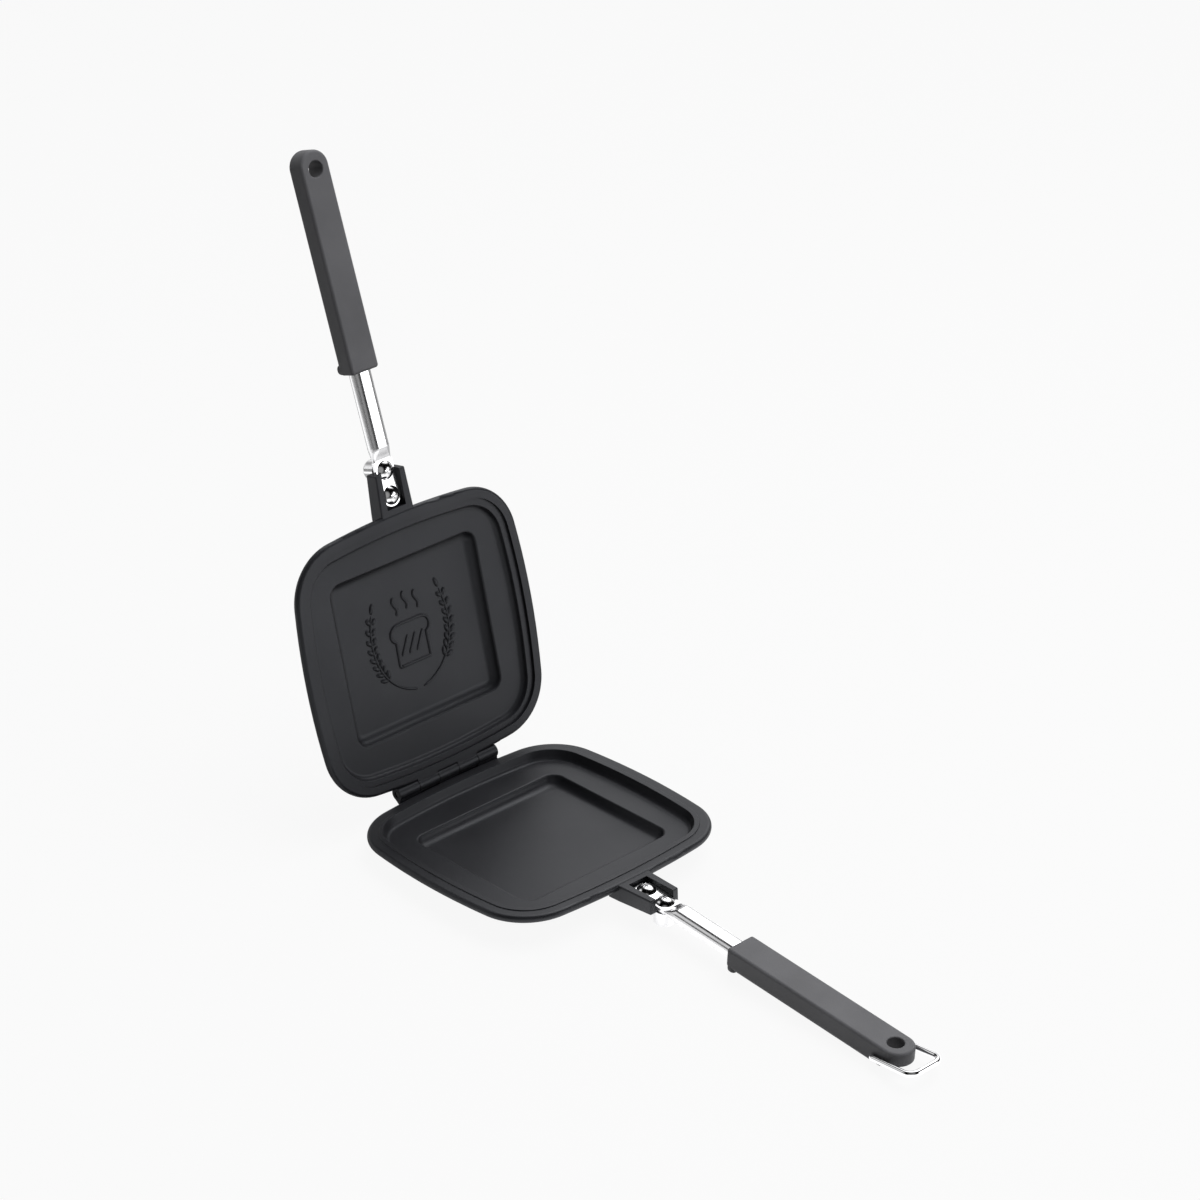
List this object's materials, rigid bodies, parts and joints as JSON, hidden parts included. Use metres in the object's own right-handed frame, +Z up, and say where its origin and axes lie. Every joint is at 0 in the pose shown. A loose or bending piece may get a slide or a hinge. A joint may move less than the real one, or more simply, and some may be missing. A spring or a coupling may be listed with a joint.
{
  "type": "pie iron",
  "caption": "Hinged square pie iron lying open: deep stepped pans for a filled bread slice, long straight handles and a wire bail at the lower handle's end.",
  "frame": {"origin": "on the table under the middle of the open iron's overall box", "axes": "+X across the pans along the hinge, +Y from the lower grip's tip towards the hinge, +Z up from the table"},
  "size_m": [0.15, 0.4494, 0.3325],
  "materials": {
    "coated_casting": "cast, with a satin black non-stick coating",
    "grip_plastic": "matt moulded heat-proof plastic",
    "neck_chrome": "bright plated steel tube",
    "wire_chrome": "bright plated steel wire",
    "pin_steel": "drawn steel",
    "fastener_chrome": "bright plated steel"
  },
  "bodies": {
    "lower_half": {"lower_pan": "coated_casting", "lower_neck": "neck_chrome", "lower_fork_screw": "fastener_chrome", "lower_fork_bolt": "fastener_chrome", "lower_barrel_nut": "fastener_chrome", "lower_grip": "grip_plastic", "lower_grip_screw": "fastener_chrome", "hinge_pin": "pin_steel"},
    "upper_half": {"upper_pan": "coated_casting", "upper_neck": "neck_chrome", "upper_fork_screw": "fastener_chrome", "upper_fork_bolt": "fastener_chrome", "upper_barrel_nut": "fastener_chrome", "upper_grip": "grip_plastic", "upper_grip_screw": "fastener_chrome"},
    "bail": {"latch_bail": "wire_chrome"}
  },
  "joints": [
    {"name": "lid_hinge", "type": "hinge", "parent": "lower_half", "child": "upper_half", "pos_m": [0, 0.11982, 0.01416], "axis": [1, 0, 0], "range_deg": [0, 101.9]},
    {"name": "bail_pivot", "type": "hinge", "parent": "lower_half", "child": "bail", "pos_m": [0, -0.19717, 0.00524], "axis": [-1, 0, 0], "range_deg": [-160, 145]}
  ]
}
